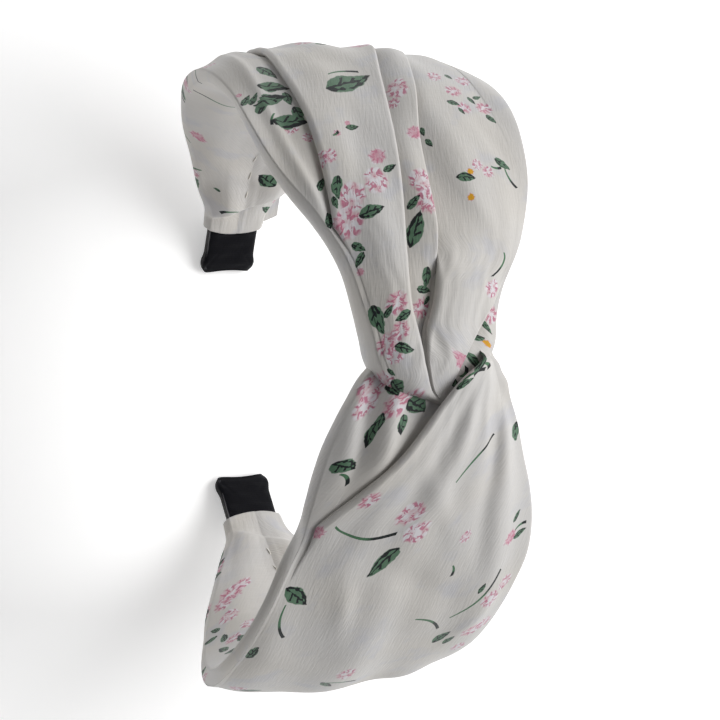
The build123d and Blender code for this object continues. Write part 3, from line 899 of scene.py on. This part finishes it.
def print_motifs(piece, flat, name, layers, motifs, reach):
    """Writes each face's place within its nearest motif as a mesh attribute, layer by layer."""
    corners = np.zeros(len(piece.data.loops), int)
    piece.data.loops.foreach_get("vertex_index", corners)
    corners = corners.reshape(-1, 4)
    along, spread = flat["along"].ravel()[corners], flat["spread"].ravel()[corners]
    nearest = np.full((layers, len(corners)), np.inf)
    owner = np.full((layers, len(corners)), NO_MOTIF)
    for number, (s, u, size, turn, third, flip) in enumerate(motifs):
        far = np.hypot(along.mean(1) - s, spread.mean(1) - u) / (size * reach + 1.0)
        near = far < 1
        crowd = np.count_nonzero(near & (owner != NO_MOTIF), axis=1)
        layer = int(np.argmin(crowd))
        mine = near & (far < nearest[layer])
        nearest[layer][mine] = far[mine]
        owner[layer][mine] = number
    table = np.array(motifs + [(0, 0, 1, 0, 0, 1)], float)
    for layer in range(layers):
        s, u, size, turn, third, flip = table[owner[layer]].T[:, :, None]
        local = np.zeros((len(corners), 4, 3))
        local[:, :, 0] = ((along - s) * np.cos(turn) + (spread - u) * np.sin(turn)) / size
        local[:, :, 1] = ((spread - u) * np.cos(turn) - (along - s) * np.sin(turn)) * flip / size
        local[:, :, 2] = third
        local[owner[layer] == NO_MOTIF] = OFF_MOTIF
        attribute = piece.data.attributes.new(f"{name}_{layer}", "FLOAT_VECTOR", "CORNER")
        attribute.data.foreach_set("vector", local.ravel().astype(np.float32))


for piece, flat in STRIPS:
    side = flat["side"]
    draw = random.Random(31 + side)
    # By chance: the outer face beyond the sprigs laid out above, and the inner face before them.
    far_down = scattered(side, draw, 94, 158, -30, 30)
    inner = scattered(side, draw, 12, 100, -12, 27)
    laid = {"bloom": [], "leaf": [], "stem": []}
    for blooms, leaves, stems, inside in (
        (BLOOMS, LEAVES, STEMS, False),
        (INNER_BLOOMS, INNER_LEAVES, INNER_STEMS, True),
        (*far_down, False),
        (*inner, True),
    ):
        # Each motif: place along and across the flat cloth, size, turn, a number of its own, flip.
        for s, y, radius, kind in blooms:
            if s * side > PAST_CROWN:
                u = on_cloth(flat, s * side, y, inside)
                turn, seed = draw.uniform(0, 6.3), kind + draw.uniform(0.05, 0.9)
                laid["bloom"].append((s * side, u, 1.12 * radius, turn, seed, 1))
        for s, y, length, turn in leaves:
            if s * side > PAST_CROWN:
                u = on_cloth(flat, s * side, y, inside)
                turn = math.radians(turn if side > 0 else 180 - turn)
                seed, flip = draw.uniform(0, 1), draw.choice((-1, 1))
                laid["leaf"].append((s * side, u, 0.53 * length + 0.1, turn, seed, flip))
        for s, y, length, turn, bow in stems:
            if s * side > PAST_CROWN:
                u = on_cloth(flat, s * side, y, inside)
                turn = math.radians(turn if side > 0 else 180 - turn)
                laid["stem"].append((s * side, u, length / 2, turn, length / 2, bow))
    print_motifs(piece, flat, "bloom", BLOOM_LAYERS, laid["bloom"], 1.15)
    print_motifs(piece, flat, "leaf", LEAF_LAYERS, laid["leaf"], 1.05)
    print_motifs(piece, flat, "stem", STEM_LAYERS, laid["stem"], 1.05)
    # The strips are set apart in the third coordinate, so that their weave and ghosts differ.
    apart = np.full(flat["along"].shape, side * 50.0)
    flat_mm = np.stack([flat["spread"], flat["along"], apart], -1)
    lay = piece.data.attributes.new("cloth_mm", "FLOAT_VECTOR", "POINT")
    lay.data.foreach_set("vector", flat_mm.ravel().astype(np.float32))

# Polyester crepe de chine, printed: a matt thin cloth with fine irregular lines running with the
# warp, a soft sheen at grazing angles, and painted light and shade on the weave, lighter where the
# threads stand up and darker between them.
WARP_PITCH = 0.5  # mm; the real threads are near 0.15, drawn coarser so that they show
WEFT_PITCH = 0.7
GHOST_SIZE = 8.0  # mm across a grey ghost
CLOUD_SIZE = 22.2  # mm across the warmer and cooler parts of the cream
printed_crepe, tree, shader = new_material("polyester_crepe_printed")
flat_place = add(tree, "Attribute", attribute_name="cloth_mm").outputs["Vector"]
warp_place = add(tree, "Mapping", {"Vector": flat_place, "Scale": (1 / WARP_PITCH, 0.3, 1.0)})
warp = add(tree, "TexNoise", {"Vector": warp_place, "Scale": 1.0, "Detail": 2.0, "Distortion": 0.4})
weft_place = add(tree, "Mapping", {"Vector": flat_place, "Scale": (0.25, 1 / WEFT_PITCH, 1.0)})
weft = add(tree, "TexNoise", {"Vector": weft_place, "Scale": 1.0, "Detail": 2.0})
weave = add(tree, "Math", {0: weft, 1: 0.35, 2: warp}, operation="MULTIPLY_ADD")
ghost = add(tree, "TexNoise", {"Vector": flat_place, "Scale": 1 / GHOST_SIZE, "Detail": 3.0})
ghost_range = {"From Min": 0.56, "From Max": 0.68, "To Max": 0.45}
ghost_on = add(tree, "MapRange", {"Value": ghost, **ghost_range})
warm = add(tree, "TexNoise", {"Vector": flat_place, "Scale": 1 / CLOUD_SIZE, "Detail": 1.0})
warm_on = add(tree, "MapRange", {"Value": warm, "From Min": 0.4, "From Max": 0.65, "To Max": 0.6})
tone = add(tree, "MixRGB", {"Fac": warm_on, "Color1": linear("D1CFCD"), "Color2": linear("D4CFC7")})
tone = add(tree, "MixRGB", {"Fac": ghost_on, "Color1": tone, "Color2": linear("BEC0CA")})
line_on = add(tree, "MapRange", {"Value": weave, "From Min": 0.5, "From Max": 0.9, "To Max": 0.2})
tone = add(tree, "MixRGB", {"Fac": line_on, "Color1": tone, "Color2": linear("B4AFA6")})

for layer in range(BLOOM_LAYERS):
    # A blossom: a pale wash, and over it pink strokes that fan out to the rim and a scalloped ring
    # inside them. Some are only a small pink dab or a yellow one.
    motif = add(tree, "Attribute", attribute_name=f"bloom_{layer}").outputs["Vector"]
    parts = add(tree, "SeparateXYZ", {0: motif})
    kind = parts.outputs["Z"]
    flat_motif = add(tree, "VectorMath", {0: motif, 1: (1, 1, 0)}, operation="MULTIPLY")
    far = add(tree, "VectorMath", {0: flat_motif}, operation="LENGTH").outputs["Value"]
    jitter = add(tree, "TexNoise", {"Vector": motif, "Scale": 1.7, "Detail": 2.0})
    uneven = add(tree, "Math", {0: jitter, 1: 0.9, 2: far}, operation="MULTIPLY_ADD")
    inside = add(tree, "MapRange", {"Value": uneven, "From Min": 1.42, "From Max": 1.18})
    wash = add(tree, "Math", {0: inside, 1: 0.62}, operation="MULTIPLY")
    blush = add(tree, "MapRange", {"Value": jitter, "From Min": 0.42, "From Max": 0.6})
    wash_colours = {"Color1": linear("E2DEE6"), "Color2": linear("CF9AA8")}
    wash_tone = add(tree, "MixRGB", {"Fac": blush, **wash_colours})
    tone = add(tree, "MixRGB", {"Fac": wash, "Color1": tone, "Color2": wash_tone})
    curl = add(tree, "TexNoise", {"Vector": motif, "Scale": 1.9, "Detail": 1.0}).outputs["Color"]
    curling = {0: curl, 1: (0.9, 0.9, 0.0), 2: motif}
    pushed = add(tree, "VectorMath", curling, operation="MULTIPLY_ADD")
    pushed = add(tree, "VectorMath", {0: pushed, 1: (0.45, 0.45, 0.0)}, operation="SUBTRACT")
    parts = add(tree, "SeparateXYZ", {0: pushed})
    around = {0: parts.outputs["Y"], 1: parts.outputs["X"]}
    angle = add(tree, "Math", around, operation="ARCTAN2")
    turned = add(tree, "Math", {0: angle, 1: 8.0, 2: kind}, operation="MULTIPLY_ADD")
    wave = add(tree, "Math", {0: turned}, operation="SINE")
    out = add(tree, "VectorMath", {0: pushed, 1: (1, 1, 0)}, operation="MULTIPLY")
    out = add(tree, "VectorMath", {0: out}, operation="LENGTH").outputs["Value"]
    broken = add(tree, "TexNoise", {"Vector": motif, "Scale": 2.4})
    fringe = add(tree, "MapRange", {"Value": wave, "From Min": 0.35, "From Max": 0.72})
    fringe_on = add(tree, "Math", {0: broken, 1: 1.1, 2: out}, operation="MULTIPLY_ADD")
    fringe_on = add(tree, "MapRange", {"Value": fringe_on, "From Min": 0.92, "From Max": 1.02})
    fringe = add(tree, "Math", {0: fringe, 1: fringe_on}, operation="MULTIPLY")
    scallop = add(tree, "Math", {0: wave, 1: 0.09, 2: out}, operation="MULTIPLY_ADD")
    off_ring = add(tree, "Math", {0: scallop, 1: 0.42}, operation="SUBTRACT")
    off_ring = add(tree, "Math", {0: off_ring}, operation="ABSOLUTE")
    ring = add(tree, "MapRange", {"Value": off_ring, "From Min": 0.085, "From Max": 0.05})
    kept = add(tree, "MapRange", {"Value": broken, "From Min": 0.44, "From Max": 0.5})
    ring = add(tree, "Math", {0: ring, 1: kept}, operation="MULTIPLY")
    drawn = add(tree, "Math", {0: fringe, 1: ring}, operation="MAXIMUM")
    drawn = add(tree, "Math", {0: drawn, 1: inside}, operation="MULTIPLY")
    drawn = add(tree, "Math", {0: drawn, 1: 0.85}, operation="MULTIPLY")
    pinks = {"Color1": linear("9C3A5E"), "Color2": linear("CB7893")}
    pink = add(tree, "MixRGB", {"Fac": broken, **pinks})
    tone = add(tree, "MixRGB", {"Fac": drawn, "Color1": tone, "Color2": pink})
    solid = add(tree, "MapRange", {"Value": uneven, "From Min": 1.25, "From Max": 1.12})
    is_yellow = add(tree, "Math", {0: kind, 1: 1.5, 2: 0.5}, operation="COMPARE")
    is_dab = add(tree, "Math", {0: kind, 1: 2.5, 2: 0.5}, operation="COMPARE")
    yellow_on = add(tree, "Math", {0: solid, 1: is_yellow}, operation="MULTIPLY")
    dab_on = add(tree, "Math", {0: solid, 1: is_dab}, operation="MULTIPLY")
    dab_on = add(tree, "Math", {0: dab_on, 1: 0.55}, operation="MULTIPLY")
    tone = add(tree, "MixRGB", {"Fac": dab_on, "Color1": tone, "Color2": linear("C77F95")})
    tone = add(tree, "MixRGB", {"Fac": yellow_on, "Color1": tone, "Color2": linear("D39A1C")})

for layer in range(STEM_LAYERS):
    # A stem: a thin bowed line, green for most of its length and near black at one end.
    motif = add(tree, "Attribute", attribute_name=f"stem_{layer}").outputs["Vector"]
    parts = add(tree, "SeparateXYZ", {0: motif})
    half_length = parts.outputs["Z"]
    square = add(tree, "Math", {0: parts.outputs["X"], 1: 2.0}, operation="POWER")
    bend = add(tree, "Math", {0: square, 1: 0.24, 2: parts.outputs["Y"]}, operation="MULTIPLY_ADD")
    centred = add(tree, "Math", {0: bend, 1: 0.1}, operation="SUBTRACT")
    off_line = add(tree, "Math", {0: centred}, operation="ABSOLUTE")
    off_mm = add(tree, "Math", {0: off_line, 1: half_length}, operation="MULTIPLY")
    swell = add(tree, "Math", {0: parts.outputs["X"], 1: 0.1, 2: 0.3}, operation="MULTIPLY_ADD")
    within = add(tree, "Math", {0: off_mm, 1: swell}, operation="LESS_THAN")
    reach = add(tree, "Math", {0: square, 1: 1.0}, operation="LESS_THAN")
    shown = add(tree, "Math", {0: within, 1: reach}, operation="MULTIPLY")
    dark = add(tree, "MapRange", {"Value": parts.outputs["X"], "From Min": 0.1, "From Max": 0.35})
    stem_colours = {"Color1": linear("4C7456"), "Color2": linear("101A1B")}
    stem_tone = add(tree, "MixRGB", {"Fac": dark, **stem_colours})
    tone = add(tree, "MixRGB", {"Fac": shown, "Color1": tone, "Color2": stem_tone})

for layer in range(LEAF_LAYERS):
    # A leaf: a pointed green oval under near-black brush strokes.
    motif = add(tree, "Attribute", attribute_name=f"leaf_{layer}").outputs["Vector"]
    ragged = add(tree, "TexNoise", {"Vector": motif, "Scale": 2.6, "Detail": 2.0}).outputs["Color"]
    wavering = {0: ragged, 1: (0.26, 0.26, 0.0), 2: motif}
    moved = add(tree, "VectorMath", wavering, operation="MULTIPLY_ADD")
    parts = add(tree, "SeparateXYZ", {0: moved})
    x = add(tree, "Math", {0: parts.outputs["X"], 1: 0.13}, operation="SUBTRACT")
    y = add(tree, "Math", {0: parts.outputs["Y"], 1: 0.13}, operation="SUBTRACT")
    side_of = add(tree, "Math", {0: y}, operation="ABSOLUTE")
    square = add(tree, "Math", {0: x, 1: 2.0}, operation="POWER")
    rest = add(tree, "Math", {0: 1.0, 1: square}, operation="SUBTRACT", use_clamp=True)
    oval = add(tree, "Math", {0: rest, 1: 0.75}, operation="POWER")
    taper = add(tree, "Math", {0: x, 1: -0.16, 2: 0.48}, operation="MULTIPLY_ADD")
    half_width = add(tree, "Math", {0: oval, 1: taper}, operation="MULTIPLY")
    margin = add(tree, "Math", {0: half_width, 1: side_of}, operation="SUBTRACT")
    blade = add(tree, "MapRange", {"Value": margin, "From Min": 0.0, "From Max": 0.05})
    # Brush strokes: one along the rib, one inside the lower edge, and a few short slanted ones.
    brush = add(tree, "TexNoise", {"Vector": motif, "Scale": 2.2, "Detail": 1.0})
    swell = add(tree, "Math", {0: brush, 1: 0.34, 2: -0.11}, operation="MULTIPLY_ADD")
    rib = add(tree, "Math", {0: side_of, 1: swell}, operation="LESS_THAN")
    low_edge = add(tree, "Math", {0: half_width, 1: 0.62, 2: y}, operation="MULTIPLY_ADD")
    low_edge = add(tree, "Math", {0: low_edge}, operation="ABSOLUTE")
    thicker = add(tree, "Math", {0: swell, 1: 1.25}, operation="MULTIPLY")
    border = add(tree, "Math", {0: low_edge, 1: thicker}, operation="LESS_THAN")
    slant = add(tree, "Math", {0: side_of, 1: -0.8, 2: x}, operation="MULTIPLY_ADD")
    comb = add(tree, "Math", {0: slant, 1: 11.0}, operation="MULTIPLY")
    comb = add(tree, "Math", {0: comb}, operation="SINE")
    teeth = add(tree, "Math", {0: comb, 1: 0.62}, operation="GREATER_THAN")
    one_half = add(tree, "Math", {0: y, 1: 0.0}, operation="GREATER_THAN")
    strokes = add(tree, "Math", {0: teeth, 1: one_half}, operation="MULTIPLY")
    far_in = add(tree, "Math", {0: margin, 1: 0.14}, operation="GREATER_THAN")
    strokes = add(tree, "Math", {0: strokes, 1: far_in}, operation="MULTIPLY")
    veins = add(tree, "Math", {0: strokes, 1: rib}, operation="MAXIMUM")
    veins = add(tree, "Math", {0: veins, 1: border}, operation="MAXIMUM")
    greens = {"Color1": linear("3A5C46"), "Color2": linear("6B8C72")}
    green = add(tree, "MixRGB", {"Fac": ragged, **greens})
    leaf_tone = add(tree, "MixRGB", {"Fac": veins, "Color1": green, "Color2": linear("10191B")})
    tone = add(tree, "MixRGB", {"Fac": blade, "Color1": tone, "Color2": leaf_tone})

# Painted light and shade on the threads: the colour is a little lighter where they stand up and a
# little darker between them.
thread_highlight_range = {"From Min": 0.3, "From Max": 0.7, "To Min": 0.96, "To Max": 1.03}
painted_thread_highlight = add(tree, "MapRange", {"Value": warp, **thread_highlight_range})
tone = add(tree, "VectorMath", {0: tone, 1: painted_thread_highlight}, operation="MULTIPLY")
rough = add(tree, "MapRange", {"Value": warm, "To Min": 0.55, "To Max": 0.7})
bump = add(tree, "Bump", {"Height": weave, "Strength": 0.6, "Distance": 0.00015})
shader.inputs["IOR"].default_value = 1.45
shader.inputs["Specular IOR Level"].default_value = 0.35
shader.inputs["Sheen Weight"].default_value = 0.25
shader.inputs["Sheen Roughness"].default_value = 0.45
connect(tree, shader, Base_Color=tone, Roughness=rough, Normal=bump)
for piece, flat in STRIPS:
    piece.data.materials.append(printed_crepe)

# ---- The seam stitches --------------------------------------------------------------------
# Each strip is closed by hand along the inner face, in the same cream spun polyester thread: short
# stitches lie over the lapped edge and dive into the cloth at both ends.
SEAM_FROM = 54.0
SEAM_TO = 156.0
STITCH_PITCH = 6.0
STITCH_LONG = 2.2
STITCH_HALF = 0.15
STITCH_AROUND = 8


def thread_tube(line, radius, points, faces):
    """Adds a round thread along (along, height, across) stations to points and faces."""
    first = len(points)
    for along, height, across in line:
        for turn in range(STITCH_AROUND):
            angle = 2 * math.pi * turn / STITCH_AROUND
            up, over = radius * math.sin(angle), radius * math.cos(angle)
            points.append((along, height + up, across + over))
    for ring in range(len(line) - 1):
        for k in range(STITCH_AROUND):
            a = first + ring * STITCH_AROUND + k
            b = first + ring * STITCH_AROUND + (k + 1) % STITCH_AROUND
            faces.append((a, b, b + STITCH_AROUND, a + STITCH_AROUND))


# Spun polyester thread: two plies twisted together, matt, with a little loose fibre.
PLY_PITCH = 0.5  # mm
spun_thread, tree, shader = new_material("polyester_thread_spun")
place = add(tree, "TexCoord").outputs["Object"]
plies = {"Vector": place, "Scale": 1 / (PLY_PITCH * MM * 6.3), "Distortion": 1.5}
twist = add(tree, "TexWave", plies, bands_direction="DIAGONAL")
fuzz = add(tree, "TexNoise", {"Vector": place, "Scale": 4000.0, "Detail": 2.0})
tone = add(tree, "MixRGB", {"Fac": twist, "Color1": linear("C9C4B9"), "Color2": linear("E4E0D8")})
rough = add(tree, "MapRange", {"Value": fuzz, "To Min": 0.6, "To Max": 0.8})
bump = add(tree, "Bump", {"Height": twist, "Strength": 0.6, "Distance": 0.00008})
shader.inputs["Sheen Weight"].default_value = 0.3
connect(tree, shader, Base_Color=tone, Roughness=rough, Normal=bump)

for piece, flat in STRIPS:
    side = flat["side"]
    seam_along, seam_height = flat["along"][flat["rows"], 0], flat["height"][flat["rows"], 0]
    points, faces = [], []
    for number, start in enumerate(np.arange(SEAM_FROM, SEAM_TO, STITCH_PITCH)):
        line = []
        for t in np.linspace(0, 1, 7):
            along = start + STITCH_LONG * t
            skin = float(np.interp(along, seam_along, seam_height))
            dive = 0.1 - 0.24 * math.sin(math.pi * t)
            line.append((along, skin + dive, 0.25 - 0.5 * t + 0.1 * math.sin(2.3 * number)))
        thread_tube(line, STITCH_HALF, points, faces)
    along, height, across = np.array(points).T
    if side > 0:
        faces = [quad[::-1] for quad in faces]
    places = on_hoop(side * along, height, across)
    stitches = mesh_piece(f"seam_stitches_{SIDES[side]}", places, faces)
    stitches.data.materials.append(spun_thread)
    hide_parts(f"seam_thread_{SIDES[side]}")
    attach(stitches, BODIES[side])

# ---- The knot's binding and the glue ------------------------------------------------------
# The same thread is wound round the band inside the knot, which holds the two hooked strips, and a
# ring of cloudy hot-melt glue holds each cuff to the satin. Both are closed in by the cloth.
dress(["knot_thread"], spun_thread)

# Hot-melt glue: milky and smooth where it set, with soft swirls from the nozzle.
GLUE_SWIRL = 2.5  # mm
melted_glue, tree, shader = new_material("hot_melt_glue_cast")
place = add(tree, "TexCoord").outputs["Object"]
swirls = {"Vector": place, "Scale": 1 / (GLUE_SWIRL * MM), "Detail": 2.0, "Distortion": 1.5}
swirl = add(tree, "TexNoise", swirls)
tone = add(tree, "MixRGB", {"Fac": swirl, "Color1": linear("CFC7B0"), "Color2": linear("E6E1D2")})
rough = add(tree, "MapRange", {"Value": swirl, "To Min": 0.18, "To Max": 0.34})
bump = add(tree, "Bump", {"Height": swirl, "Strength": 0.35, "Distance": 0.0002})
shader.inputs["IOR"].default_value = 1.48
connect(tree, shader, Base_Color=tone, Roughness=rough, Normal=bump)
dress(["glue_right", "glue_left"], melted_glue)

# ---- The camera ---------------------------------------------------------------------------
# It looks down on the crown from in front and above, turned a quarter so that the band's front
# edge is to the left and the wearer's right side is at the top.
CAMERA_ELEVATION = math.radians(65.6)
CAMERA_AZIMUTH = math.radians(1.4)
CAMERA_ROLL = math.radians(-5.1)
CAMERA_DISTANCE = 0.457
CAMERA_LENS = 98.05
CAMERA_TARGET = Vector((-0.0006, 0.0, 0.0854))

towards_camera = Vector(
    (
        math.sin(CAMERA_AZIMUTH) * math.cos(CAMERA_ELEVATION),
        -math.cos(CAMERA_AZIMUTH) * math.cos(CAMERA_ELEVATION),
        math.sin(CAMERA_ELEVATION),
    )
)
level = Vector((0, 0, 1)).cross(towards_camera).normalized()
rising = towards_camera.cross(level)
view_right = math.cos(CAMERA_ROLL) * rising - math.sin(CAMERA_ROLL) * level
view_up = -math.cos(CAMERA_ROLL) * level - math.sin(CAMERA_ROLL) * rising

camera_data = bpy.data.cameras.new("camera")
camera_data.sensor_width = 36
camera_data.lens = CAMERA_LENS
camera_data.clip_start = 0.01
camera = bpy.data.objects.new("camera", camera_data)
bpy.context.scene.collection.objects.link(camera)
pose = Matrix((view_right, view_up, towards_camera)).transposed().to_4x4()
pose.translation = CAMERA_TARGET + towards_camera * CAMERA_DISTANCE
camera.matrix_world = pose
bpy.context.scene.camera = camera

# ---- Floor, light and the finish ----------------------------------------------------------
# A pale lit table, a white room that is brighter behind the band, and one large soft lamp there.
world = bpy.data.worlds.new("studio")
world.use_nodes = True
room = world.node_tree.nodes["Background"]
room.inputs["Color"].default_value = (1, 1, 1, 1)
direction = add(world.node_tree, "TexCoord").outputs["Generated"]
towards = add(world.node_tree, "SeparateXYZ", {0: direction})
front_to_back = {"From Min": -0.8, "From Max": 0.8, "To Min": 0.06, "To Max": 0.46}
room_light = {"Value": towards.outputs["Y"], **front_to_back}
back_lit = add(world.node_tree, "MapRange", room_light)
world.node_tree.links.new(back_lit.outputs[0], room.inputs["Strength"])
bpy.context.scene.world = world
bpy.context.scene.view_settings.view_transform = "Standard"


def soft_lamp(name, place, target, size, power):
    """A square area lamp aimed at a point."""
    lamp_data = bpy.data.lights.new(name, "AREA")
    lamp_data.size = size
    lamp_data.energy = power
    lamp = bpy.data.objects.new(name, lamp_data)
    bpy.context.scene.collection.objects.link(lamp)
    lamp.location = place
    lamp.rotation_euler = (Vector(target) - Vector(place)).to_track_quat("-Z", "Y").to_euler()


soft_lamp("key", (-0.06, 0.72, 0.88), (0, 0, 0.08), 0.8, 10.0)

# Matt white laminate: even but for a trace of grain, and lit a little from below.
pale_table, tree, shader = new_material("laminate_matt_white")
grain = add(tree, "TexNoise", {"Scale": 60.0, "Detail": 3.0})
tone = add(tree, "MixRGB", {"Fac": grain, "Color1": linear("F6F6F6"), "Color2": linear("FAFAFA")})
connect(tree, shader, Base_Color=tone)
shader.inputs["Roughness"].default_value = 0.9
shader.inputs["Emission Color"].default_value = (1, 1, 1, 1)
shader.inputs["Emission Strength"].default_value = 0.4
floor_mesh = bpy.data.meshes.new("floor")
floor_mesh.from_pydata([(-3, -3, 0), (3, -3, 0), (3, 3, 0), (-3, 3, 0)], [], [(0, 1, 2, 3)])
floor = bpy.data.objects.new("floor", floor_mesh)
floor_mesh.materials.append(pale_table)
bpy.context.scene.collection.objects.link(floor)
